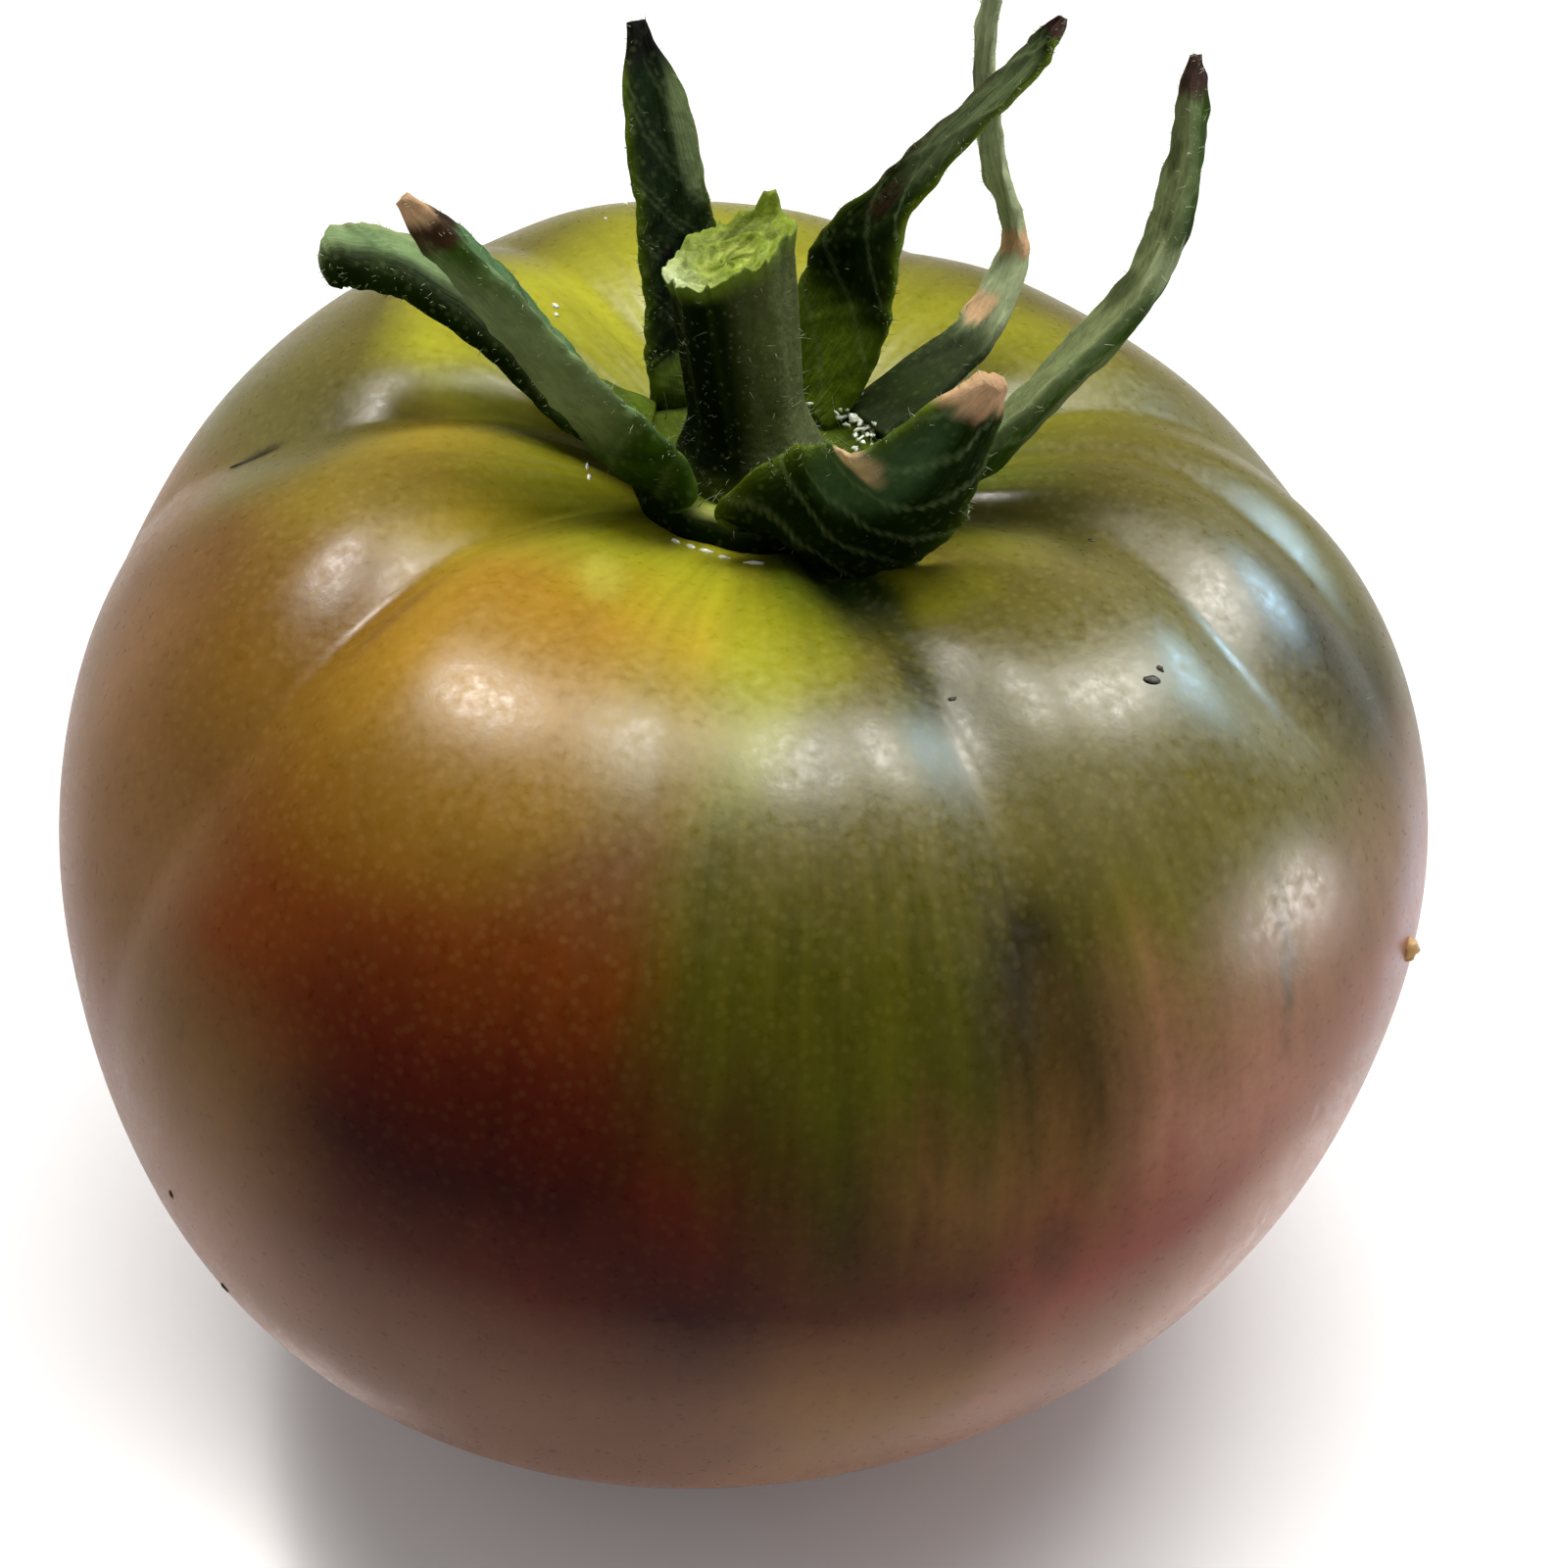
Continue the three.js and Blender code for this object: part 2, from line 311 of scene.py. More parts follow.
def grooveSink(turn, dip):
    # each groove: a bell across it and a narrower one in it, from the hollow to its foot
    sink = 0
    for groove in grooves:
        away = grooveAway(groove, turn, dip)
        length = ease(dip, fruit["grooveHead"], fruit["grooveFull"])
        length = length * (1 - ease(dip, fruit["grooveFade"], groove["foot"]))
        sink = sink + length * groove["depth"] * np.exp(-(away / groove["spread"]) ** 2)
        crease = np.exp(-np.abs(away / fruit["creaseWidth"]) ** fruit["creaseShape"])
        sink = sink + length * groove["crease"] * crease
    return sink


def dipAt(radius):
    # the dip at which the plain oval, above its widest ring, has this radius
    return np.degrees(np.arcsin(np.clip(radius / fruit["radius"], 0, 1) ** (1 / fruit["sideFullness"])))


def skinPoint(turn, dip):
    # a squarish oval turned round the crown's axis, the crown sunk by a bell and the grooves sunk inwards
    slope = np.radians(dip)
    radius = fruit["radius"] * np.abs(np.sin(slope)) ** fruit["sideFullness"]
    level = np.cos(slope)
    hollow = fruit["hollowDepth"] * np.exp(-((radius / fruit["hollowRadius"]) ** 2))
    crown = fruit["crownHeight"] * np.maximum(level, 0) ** fruit["crownFullness"] - hollow
    belly = -fruit["bellyDepth"] * np.maximum(-level, 0) ** fruit["bellyFullness"]
    height = np.where(level < 0, belly, crown)
    shrink = 1 - grooveSink(turn, dip) / np.hypot(radius, height)
    reach = radius * planScale(turn) * shrink
    angle = np.radians(turn)
    return np.stack([reach * np.cos(angle), reach * np.sin(angle), height * shrink], -1)


def skinAbove(turn, reach, lift):
    # the skin at a distance from the crown's axis, lifted
    point = skinPoint(turn, dipAt(reach / planScale(turn)))
    point[..., 2] += lift
    return point


hollowFloor = skinPoint(np.array([0.0]), np.array([1e-3]))[0, 2]
leanTurn = math.radians(fruit["lean"])


def leaned(points):
    # the whole tomato leans towards +X
    x, y, z = np.moveaxis(points, -1, 0)
    c, s = math.cos(leanTurn), math.sin(leanTurn)
    return np.stack([x * c + z * s, y, z * c - x * s], -1)


def restLevel():
    # the belly's height where its radius is that of the flat spot
    bottom = math.cos(math.radians(float(dipAt(fruit["flatSpotRadius"]))))
    return -fruit["bellyDepth"] * bottom ** fruit["bellyFullness"]


def skinGrid():
    dips = np.linspace(fruit["poleGap"], 180 - fruit["poleGap"], fruit["along"])
    turns = np.arange(fruit["around"]) * 360 / fruit["around"]
    dip, turn = np.meshgrid(dips, turns, indexing="ij")
    return turn, dip


# where the fruit's middle stands: the grown skin's box is put on the CAD fruit's box
skinTurn, skinDip = skinGrid()
grownSkin = leaned(skinPoint(skinTurn, skinDip))
cadLow, cadHigh = [np.array(c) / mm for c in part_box("fruit")]
seat = (cadLow + cadHigh) / 2 - (grownSkin.reshape(-1, 3).min(0) + grownSkin.reshape(-1, 3).max(0)) / 2
seat[2] = -restLevel()
print("fruit stands at", seat.round(2))


def placed(points):
    # from the fruit's own upright frame to where it stands
    return leaned(points) + seat


# camera
view = {"elevation": 43, "distance": 140.8, "lens": 48, "shift": 0.032}


def makeCamera():
    camera = bpy.data.objects.new("camera", bpy.data.cameras.new("camera"))
    bpy.context.scene.collection.objects.link(camera)
    rise = math.radians(view["elevation"])
    back = np.array([0, -math.cos(rise), math.sin(rise)])
    camera.location = (seat + view["distance"] * back) * mm
    camera.rotation_euler = (math.pi / 2 - rise, 0, 0)
    camera.data.lens = view["lens"]
    camera.data.shift_x = view["shift"]
    camera.data.clip_start = 0.005
    bpy.context.scene.camera = camera


makeCamera()
print("camera set")

# skin colours
palette = {
    "lime": tone(152, 150, 28), "paleLime": tone(186, 188, 84), "grass": tone(124, 122, 18),
    "fern": tone(88, 98, 12), "shade": tone(32, 46, 8), "straw": tone(162, 138, 34),
    "gold": tone(152, 114, 26), "brass": tone(118, 98, 24), "amber": tone(114, 80, 14),
    "rust": tone(98, 46, 7), "ember": tone(72, 20, 3), "night": tone(46, 5, 2),
    "moss": tone(68, 66, 6), "bark": tone(60, 46, 6), "dusk": tone(74, 34, 14),
    "olive": tone(94, 86, 26), "khaki": tone(104, 96, 50), "stone": tone(64, 60, 36),
    # taupe and rose are laid low on the sides and round the bottom: partly the skin's own colour, partly
    # painted reflection of the white table
    "clay": tone(126, 92, 58), "taupe": tone(140, 101, 81), "cocoa": tone(106, 74, 56),
    "rose": tone(154, 106, 86), "blush": tone(130, 64, 48), "umber": tone(106, 74, 34),
    "soil": tone(40, 34, 4), "cork": tone(132, 104, 72), "pitch": tone(34, 30, 14),
}
skinDips = [5, 15, 25, 35, 45, 55, 65, 75, 85, 95, 130]
# down each line of the fruit: the turn, then the palette's colour at each dip above
skinLines = [
    (30, "fern grass grass olive khaki khaki clay clay taupe taupe taupe"),
    (65, "paleLime lime grass olive olive umber rust clay taupe taupe taupe"),
    (95, "paleLime paleLime lime grass olive umber rust dusk clay taupe taupe"),
    (130, "paleLime lime lime olive khaki umber rust clay taupe taupe taupe"),
    (165, "lime grass lime olive khaki khaki clay taupe taupe taupe taupe"),
    (185, "grass grass straw khaki khaki clay clay taupe taupe taupe taupe"),
    (200, "grass grass brass brass umber clay clay taupe taupe taupe taupe"),
    (215, "fern grass straw amber amber umber clay clay taupe taupe taupe"),
    (230, "grass lime gold gold amber rust rust umber clay taupe taupe"),
    (245, "lime lime gold gold amber rust ember night dusk cocoa taupe"),
    (258, "lime lime straw brass umber rust ember night ember cocoa taupe"),
    (267, "grass grass lime grass olive moss bark ember night cocoa taupe"),
    (276, "fern fern grass olive olive moss moss bark dusk clay taupe"),
    # the shade tone near the hollow on the lines at 285, 293 and 340 lies under the front and right sepals:
    # painted shadow
    (285, "shade shade olive olive olive moss moss umber dusk clay taupe"),
    # the dark olive at dip 55 on the line below lies in the groove: painted shade
    (293, "shade shade moss moss olive soil bark umber blush taupe rose"),
    (303, "grass grass olive olive khaki olive clay rose blush taupe rose"),
    (315, "fern olive olive olive olive olive clay rose rose rose rose"),
    (327, "fern grass khaki olive khaki khaki clay rose rose rose rose"),
    (340, "shade moss olive khaki stone stone clay rose rose rose rose"),
    (355, "fern fern olive olive olive khaki khaki clay rose rose rose"),
]


def patch(turn, dip, middle, halfTurn, depth, halfDip):
    # 1 inside a squarish patch of skin and 0 outside: e to minus the fourth powers of both distances
    return np.exp(-(turnsApart(turn, middle) / halfTurn) ** 4 - ((dip - depth) / halfDip) ** 4)


def skinPaint(turn, dip):
    # straight blends down each line and eased ones between the lines, with wandering borders
    wander = 2.2 * ripple(np.radians(turn) * 3 + np.radians(dip) * 5, 11)
    ragged = 3 * ripple(np.radians(turn) * 37, 12, 9) * patch(turn, dip, 284, 34, 66, 18)
    t, d = turn + wander, dip + wander + ragged
    columns = []
    for _, words in skinLines:
        tones = np.array([palette[name] for name in words.split()])
        columns.append(np.stack([np.interp(d, skinDips, tones[:, k]) for k in range(3)], -1))
    turns = [line[0] for line in skinLines]
    colour = np.zeros(turn.shape + (3,))
    for k, middle in enumerate(turns):
        before = middle - turns[k - 1] if k else middle - turns[-1] + 360
        after = turns[(k + 1) % len(turns)] - middle + (360 if k == len(turns) - 1 else 0)
        away = turnsApart(t, middle)
        weight = np.where(away < 0, 1 - ease(-away, 0, before), 1 - ease(away, 0, after))
        colour = colour + columns[k] * weight[..., None]
    return colour


# each mark is turn, dip, half width in turn, half length in dip, how far the turn shifts over each
# degree of dip, tone and strength
skinMarks = [
    (178.5, 45, 0.9, 4.2, 0.05, "pitch", 0.85), (314.5, 65, 0.8, 9, -0.17, "stone", 0.8),
    (335, 23, 9, 3.2, -1.5, "moss", 0.6), (305, 21, 10, 3.5, -1.0, "grass", 0.45),
    # the dark streaks at turns 291 and 293 and the umber line at turn 222 lie in grooves' creases: painted
    # shade
    (291, 30, 2.2, 6, 0.2, "soil", 0.5), (239, 19, 6, 3.5, 1.0, "paleLime", 0.3),
    (293, 84, 2.4, 5, 0.1, "soil", 0.45), (222, 34, 1.2, 6, 0.1, "umber", 0.5),
    (0, 180, 400, 3.6, 0, "cork", 0.9), (0, 180, 400, 1.5, 0, "pitch", 0.6),
]


def addMarks(turn, dip, colour):
    # each mark is a soft-edged oval laid along its own slant, roughened by a fine ripple
    fray = 0.12 * ripple(np.radians(turn) * 31 + dip * 0.7, 33, 7)
    for middle, depth, halfTurn, halfDip, slant, name, strength in skinMarks:
        across = turnsApart(turn, middle + slant * (dip - depth)) / halfTurn
        mask = 1 - ease(np.hypot(across, (dip - depth) / halfDip) + fray, 0.35, 1.25)
        colour = blend(colour, palette[name], (strength * mask)[..., None])
    # fine streaks of green and yellow run out of the hollow
    rays = ripple(np.radians(turn) * 29 + 0.05 * dip, 34, 9) * np.exp(-((dip - 20) / 9) ** 2)
    return colour * (1 + 0.09 * rays)[..., None]


pucker = {"height": 0.1, "pace": 21, "dip": 14, "spread": 5}
dimple = {"height": 0.9, "radius": 3.2}


def makeFruit():
    # the grown skin with a ripple round the hollow, a flat spot to stand on and a bell-shaped dimple in it
    turn, dip = skinTurn, skinDip
    points = grownSkin.copy()
    band = np.exp(-((dip - pucker["dip"]) / pucker["spread"]) ** 2)
    points[..., 2] += pucker["height"] * ripple(np.radians(turn) * pucker["pace"], 31, 6) * band
    points[..., 2] = np.maximum(points[..., 2], restLevel())
    fromEnd = np.linalg.norm(points[..., :2] - points[-1, :, :2].mean(0), axis=-1)
    points[..., 2] += dimple["height"] * np.exp(-(fromEnd / dimple["radius"]) ** 2) * (dip > 120)
    angle = np.radians(turn)
    grow = np.stack([np.cos(angle) * 22, np.sin(angle) * 22, dip / 30], -1)
    front = patch(turn, dip, 276, 20, 62, 22)
    right = patch(turn, dip, 318, 26, 60, 18)
    streaky = 0.15 + 0.75 * np.clip(front + 0.5 * right, 0, 1)
    flecked = 0.012 + 0.04 * (1 - ease(dip, 30, 75))
    paint = addMarks(turn, dip, skinPaint(turn, dip))
    return ringBody("fruitSkin", points + seat, skin, paint=paint, grow=grow, streaky=streaky,
                    flecked=flecked)


skin = grownMaterial("tomatoSkin", {
    "cloudSize": 80, "cloud": 0.55, "grainSize": 1500, "grain": 0.4, "streak": 1.4, "streakSize": 1.0,
    "fleckSize": 1500, "fleckLevel": 0.42, "fleckColour": tone(200, 184, 96), "roughness": 0.33,
    "bumpSize": 1300, "bump": 0.16, "bumpDepth": 0.08, "ribs": 0.0,
    "shader": {"IOR": 1.36, "Specular IOR Level": 0.08},
})
fruitSkin = makeFruit()
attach(fruitSkin, "root")
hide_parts("fruit")
print("fruit skin made")


# calyx
calyx = {
    "seatGap": 0.3, "hubRadius": 8, "rootThickness": 1.8, "rootLength": 0.2,
    "rootClearance": 0.6, "bladeClearance": 0.9, "rootTurned": 0.3, "rootIn": 2.2,
    "around": 48, "along": 120,
}
leafTones = {
    "deep": tone(17, 32, 2), "green": tone(46, 70, 8), "fresh": tone(96, 116, 22),
    "bloom": tone(126, 142, 96), "teal": tone(88, 122, 80), "black": tone(10, 9, 5),
    "brown": tone(54, 34, 22), "purple": tone(72, 50, 48), "tan": tone(206, 166, 126),
    "cream": tone(176, 182, 96), "grey": tone(120, 130, 86), "pale": tone(176, 188, 144),
}
# Points along each sepal are (turn, out from the hub, rise above the hollow's floor), and widths are
# (share of length, width). Marks are (share of length, across, half length, half width, tone, strength):
# across runs from -1 to 1 between the edges, and is None where a mark goes all the way round.
sepals = [
    {"node": "sepal_left_back", "name": "sepalLeftBack", "root": 172, "fold": 0.0, "seed": 1, "tilt": 0.6,
     "points": [(172, 3.2, 4.6), (171, 7.5, 8.2), (172, 12.5, 11.8), (172, 16, 12.4), (172, 17.9, 12.0)],
     "widths": [(0, 6), (0.2, 5.4), (0.6, 4.6), (0.9, 4.2), (0.96, 3.6), (1, 2.2)], "thick": (2.0, 3.4),
     "wave": 0.1, "inner": "bloom", "outer": "deep", "rim": "green",
     "marks": [(1.0, None, 0.03, 1, "teal", 0.7), (0.7, 0.2, 0.3, 0.5, "teal", 0.4),
               (0.65, 1.1, 0.4, 0.6, "deep", 0.9)]},
    {"node": "sepal_left", "name": "sepalLeft", "root": 228, "fold": 0.22, "seed": 2, "tilt": 0.6,
     "points": [(215, 2.2, 7), (207, 4.9, 10.6), (201, 8.3, 15.8), (196, 12.2, 20.8)],
     "widths": [(0, 7), (0.2, 7), (0.5, 6.2), (0.78, 4.6), (0.88, 3.4), (0.91, 2.0), (0.96, 1.4), (1, 0.6)],
     "thick": (2.4, 1.6), "wave": 0.18, "inner": "teal", "outer": "green", "rim": "green",
     "marks": [(0.92, None, 0.035, 1, "brown", 0.95), (1.0, None, 0.055, 1, "tan", 0.95),
               (0.58, 0.4, 0.3, 0.9, "bloom", 0.65)]},
    {"node": "sepal_back_left", "name": "sepalBackLeft", "root": 128, "fold": 0.12, "seed": 3, "tilt": 0.6,
     "points": [(128, 0.2, 6.5), (127, 1.2, 11), (125, 3.3, 15.5), (123, 8, 22.8)],
     "widths": [(0, 5.5), (0.2, 5.6), (0.6, 5.2), (0.82, 4.6), (0.92, 3.4), (0.95, 2.1), (1, 1.0)],
     "thick": (1.8, 1.2), "wave": 0.12, "inner": "deep", "outer": "green", "rim": "fresh",
     "marks": [(1.0, None, 0.075, 1, "black", 0.95), (0.52, 0.3, 0.04, 0.3, "black", 0.9),
               (0.8, -0.7, 0.12, 0.4, "bloom", 0.6)]},
    {"node": "sepal_back_right", "name": "sepalBackRight", "root": 62, "fold": 0.12, "seed": 4, "tilt": 0.6,
     "points": [(52, 0.3, 9), (46, 0.5, 14), (37, 3.2, 19), (28, 7.3, 24.4), (26, 8.4, 27)],
     "widths": [(0, 6.4), (0.2, 7), (0.38, 5.8), (0.48, 3.2), (0.6, 2.4),
                (0.8, 2.2), (0.9, 1.6), (0.95, 1.0), (1, 0.3)],
     "thick": (1.8, 0.8), "wave": 0.2, "inner": "deep", "outer": "fresh", "rim": "fresh",
     "marks": [(0.98, None, 0.05, 1, "purple", 0.95), (0.48, 0.2, 0.05, 0.4, "brown", 0.6),
               (0.72, 0.0, 0.2, 1, "bloom", 0.4), (0.72, 0.9, 0.25, 0.3, "purple", 0.4)]},
    {"node": "sepal_right_back", "name": "sepalRightBack", "root": 23, "fold": 0.12, "seed": 5, "tilt": 0.6,
     "points": [(28, 6.4, 7), (35, 10.2, 11.4), (41, 8.8, 17.4), (45, 8.2, 23), (46, 9, 31)],
     "widths": [(0, 4.4), (0.15, 4.2), (0.3, 3.0), (0.4, 1.8), (0.48, 1.5),
                (0.7, 1.5), (0.92, 1.1), (1, 0.3)],
     "thick": (1.6, 0.8), "wave": 0.22, "inner": "pale", "outer": "pale", "rim": "pale",
     "marks": [(0.1, None, 0.15, 1, "deep", 0.9), (0.27, 0.3, 0.04, 0.8, "tan", 0.9),
               (0.42, None, 0.03, 1, "tan", 0.95), (0.34, None, 0.04, 1, "pale", 0.8)]},
    {"node": "sepal_right", "name": "sepalRight", "root": 326, "fold": 0.16, "seed": 6, "tilt": 0.6,
     "points": [(333, 4.5, 6), (345, 8.5, 11.3), (355, 12.7, 17), (360.5, 14.1, 23), (363.5, 13.5, 27.9)],
     "widths": [(0, 5.5), (0.2, 5.2), (0.5, 4.5), (0.8, 3.3), (0.92, 1.9), (1, 0.3)],
     "thick": (1.8, 1.0), "wave": 0.15, "inner": "grey", "outer": "green", "rim": "bloom",
     "marks": [(0.98, None, 0.06, 1, "purple", 0.95), (0.4, 0.0, 0.12, 0.6, "grey", 0.6),
               (0.56, 0.5, 0.04, 0.5, "deep", 0.6), (0.68, -0.3, 0.03, 0.5, "deep", 0.5),
               (0.8, 0.4, 0.04, 0.4, "deep", 0.5), (0.62, -0.6, 0.05, 0.5, "pale", 0.5)]},
    {"node": "sepal_front", "name": "sepalFront", "root": 274, "fold": 0.1, "seed": 7, "tilt": -0.35,
     "points": [(283, 2.8, 5), (292, 5, 6.9), (300, 7.0, 9.8), (308, 9.0, 17)],
     "widths": [(0, 7.4), (0.12, 8.6), (0.5, 9.8), (0.72, 9.4), (0.88, 6.6), (0.96, 3.8), (1, 1.4)],
     "thick": (1.8, 1.2), "wave": 0.2, "inner": "green", "outer": "deep", "rim": "fresh",
     "marks": [(0.74, -1.0, 0.055, 0.5, "tan", 0.95), (1.0, None, 0.06, 1, "tan", 0.9),
               (0.7, -0.6, 0.25, 0.5, "teal", 0.35)]},
]


def curveThrough(points, share):
    # a centripetal Catmull-Rom curve: each span is a cubic whose end slopes look at the points beyond it
    points = np.array(points, float)
    count = len(points)
    spot = np.clip(share, 0, 1) * (count - 1)
    span = np.minimum(spot.astype(int), count - 2)
    w = (spot - span)[:, None]
    padded = np.concatenate([[2 * points[0] - points[1]], points, [2 * points[-1] - points[-2]]])
    a, b, c, d = (padded[span + k] for k in range(4))
    ab, bc, cd = (np.sqrt(np.linalg.norm(q - p, axis=1))[:, None] for p, q in ((a, b), (b, c), (c, d)))
    leave = ((b - a) / ab - (c - a) / (ab + bc) + (c - b) / bc) * bc
    reach = ((c - b) / bc - (d - b) / (bc + cd) + (d - c) / cd) * bc
    return b + w * leave + w ** 2 * (3 * (c - b) - 2 * leave - reach) + w ** 3 * (2 * (b - c) + leave + reach)


def sepalLine(sepal, share):
    # a curve from the hub's edge through the points, each kept clear of the skin below it
    half = calyx["rootThickness"] / 2
    rim = calyx["hubRadius"] + calyx["seatGap"] + half
    lift = calyx["rootClearance"] + half
    stops = [skinAbove(np.array([sepal["root"]]), rim, lift)[0]]
    for turn, out, rise in sepal["points"]:
        stop = skinAbove(np.array([turn]), calyx["hubRadius"] + out, calyx["bladeClearance"] + half)[0]
        stop[2] = max(stop[2], hollowFloor + rise)
        stops.append(stop)
    line = curveThrough(stops, share)
    # the root reaches in under the hub's rim
    inwards = -stops[0] * [1, 1, 0] / rim
    return line + inwards * (calyx["rootIn"] * (1 - ease(share, 0, 0.25)))[:, None]


def sepalFrame(sepal, share):
    # middle line, way across, way that the inner face looks
    middle = sepalLine(sepal, share)
    step = 2e-3
    ahead = sepalLine(sepal, np.minimum(share + step, 1))
    behind = sepalLine(sepal, np.maximum(share - step, 0))
    forwards = unit(ahead - behind)
    inwards = -middle.copy()
    inwards[:, 2] = 0
    turned = blend(calyx["rootTurned"], 1, ease(share, 0, calyx["rootLength"]))
    facing = unit(inwards) * turned[:, None]
    facing[:, 2] = blend(0.6, sepal["tilt"], ease(share, 0, 0.3))
    sideways = unit(np.cross(facing, forwards))
    return middle, sideways, np.cross(forwards, sideways)


def smoothWidths(widths, share):
    # straight stretches between the given widths, rounded off by a sliding average
    x, y = np.array(widths, float).T
    line = np.interp(share, x, y)
    kernel = np.hanning(9)
    return np.convolve(np.pad(line, 4, "edge"), kernel / kernel.sum(), "valid")


def sepalPaint(sepal, share, across, face):
    # outer and inner colours, a lighter rim, dark clouds along the veins, then the marks
    inner, outer, rim = (leafTones[sepal[k]] for k in ("inner", "outer", "rim"))
    colour = blend(outer, inner, (ease(face, -0.15, 0.35) * ease(share, 0.08, 0.3))[..., None])
    # the outer face near the root is darkened to deep green: painted shade under the sepal
    paintedRootShade = (1 - ease(share, 0.03, 0.36)) * (1 - ease(face, -0.3, 0.5))
    colour = blend(colour, leafTones["deep"], (0.8 * paintedRootShade)[..., None])
    lining = (1 - ease(share, 0.05, 0.3)) * ease(face, -0.3, 0.5)
    colour = blend(colour, leafTones["fresh"], (0.7 * lining)[..., None])
    blotch = ease(ripple(share * 26 + across * 4, sepal["seed"] + 40, 7), 0.1, 1)
    colour = blend(colour, leafTones["deep"], (0.5 * blotch)[..., None])
    dusty = ease(ripple(share * 41 - across * 5, sepal["seed"] + 80, 7), 0.25, 1.2)
    colour = blend(colour, leafTones["bloom"], (0.32 * dusty)[..., None])
    colour = blend(colour, rim, (0.55 * np.abs(across) ** 8)[..., None])
    for at, side, long, wide, name, strength in sepal["marks"]:
        down = ((share - at) + 0.01 * ripple(across * 5, sepal["seed"] + 60)) / long
        over = 0 if side is None else (across - side) / wide
        mask = strength * (1 - ease(np.hypot(down, over), 0.6, 1.25))
        colour = blend(colour, leafTones[name], mask[..., None])
    return colour


def makeSepal(sepal, material):
    # a lens-shaped section carried along the line, edges folded up, midrib raised behind, edges waving
    share = np.linspace(0, 1, calyx["along"])
    middle, sideways, inner = sepalFrame(sepal, share)
    angle = np.arange(calyx["around"]) * tau / calyx["around"]
    s, a = np.meshgrid(share, angle, indexing="ij")
    across, face = np.cos(a), np.sin(a)
    past = ease(s, 0, calyx["rootLength"])
    half = smoothWidths(sepal["widths"], share)[:, None] / 2
    wave = sepal["wave"] * ripple(s * 22 + np.sign(across) * 2, sepal["seed"]) * np.abs(across) ** 3 * past
    thick = np.minimum(blend(*sepal["thick"], s) / 2, half * 0.85)
    crinkle = 0.12 * ripple(s * 30 + across * 3, sepal["seed"] + 20) * past
    fold = 2 * sepal["fold"] * half * past * across ** 2
    rib = 0.25 * np.exp(-(across / 0.18) ** 2) * np.where(face < 0, -1, -0.6) * past
    over = thick * np.sign(face) * np.abs(face) ** 0.8 + fold + rib + crinkle
    side = half * across + wave
    rings = middle[:, None] + sideways[:, None] * side[..., None] + inner[:, None] * over[..., None]
    paint = sepalPaint(sepal, s, across, face)
    grow = np.stack([across * 3, s * 2.5, face * 0.4 + sepal["seed"]], -1)
    body = ringBody(sepal["name"], placed(rings)[:, ::-1], material, paint=paint[:, ::-1], grow=grow[:, ::-1],
                    streaky=np.ones_like(s), flecked=(0.04 + 0.1 * np.abs(across))[:, ::-1])
    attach(body, "root")
    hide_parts(sepal["node"])
    return placed(rings), s, across, face


leaf = grownMaterial("sepalLeaf", {
    "cloudSize": 260, "cloud": 1.1, "grainSize": 1500, "grain": 0.6, "streak": 0.6, "streakSize": 3.0,
    "fleckSize": 1500, "fleckLevel": 0.36, "fleckColour": tone(130, 148, 84), "roughness": 0.66,
    "bumpSize": 1200, "bump": 0.6, "bumpDepth": 0.25, "ribs": 1.0,
    "shader": {"IOR": 1.3, "Specular IOR Level": 0.015},
})
blades = [makeSepal(sepal, leaf) for sepal in sepals]
print("sepals made")

# hub and stem
hub = {"radius": 8.3, "rim": 2.2, "floor": 1.0, "edge": 10}
stub = {
    "footRadius": 4.8, "radius": 3.2, "flare": 6, "height": 16, "lean": -9.5, "cutSlope": 27,
    "footEnd": 0.06, "sideEnd": 0.66, "shredTurn": 50, "shredHalf": 11, "shredHeight": 1.2,
}


def makeHub(material):
    # a shallow dish that follows the skin: its rim stands up between the sepals, and its underside lies low
    rows, columns = 60, 120
    share = np.linspace(0.01, 0.99, rows)
    turn = np.arange(columns) * 360 / columns
    s, t = np.meshgrid(share, turn, indexing="ij")
    outwards = 1 - np.abs(2 * s - 1)
    roots = np.array([sepal["root"] for sepal in sepals])
    nearest = np.abs(turnsApart(t[..., None], roots)).min(-1)
    reach = hub["radius"] * (1 - 0.07 * ease(nearest, 8, 26))
    dish = blend(hub["floor"], hub["rim"], ease(outwards, 0.35, 0.9)) * (1 - outwards ** hub["edge"]) ** 0.5
    lumps = 0.15 * ripple(np.radians(t) * 5 + outwards * 9, 71)
    lift = np.where(s < 0.5, dish + lumps * (1 - outwards), -0.25)
    points = skinAbove(t, reach * outwards, lift)
    inside = ease(outwards, 0.2, 0.6) * (1 - ease(outwards, 0.84, 0.95))
    paint = blend(leafTones["deep"], leafTones["fresh"], (0.8 * inside * (s < 0.5))[..., None])
    valley = np.exp(-(turnsApart(t, 252) / 16) ** 2)
    valley = valley * ease(outwards, 0.6, 0.8) * (1 - ease(outwards, 0.88, 0.96))
    paint = blend(paint, leafTones["cream"], (0.8 * valley * (s < 0.5))[..., None])
    body = ringBody("calyxBase", placed(points), material, paint=paint, grow=points / 3,
                    streaky=np.ones_like(s), flecked=np.full_like(s, 0.15))
    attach(body, "root")
    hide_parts("calyx_hub")
    return placed(points), outwards * (s < 0.5)


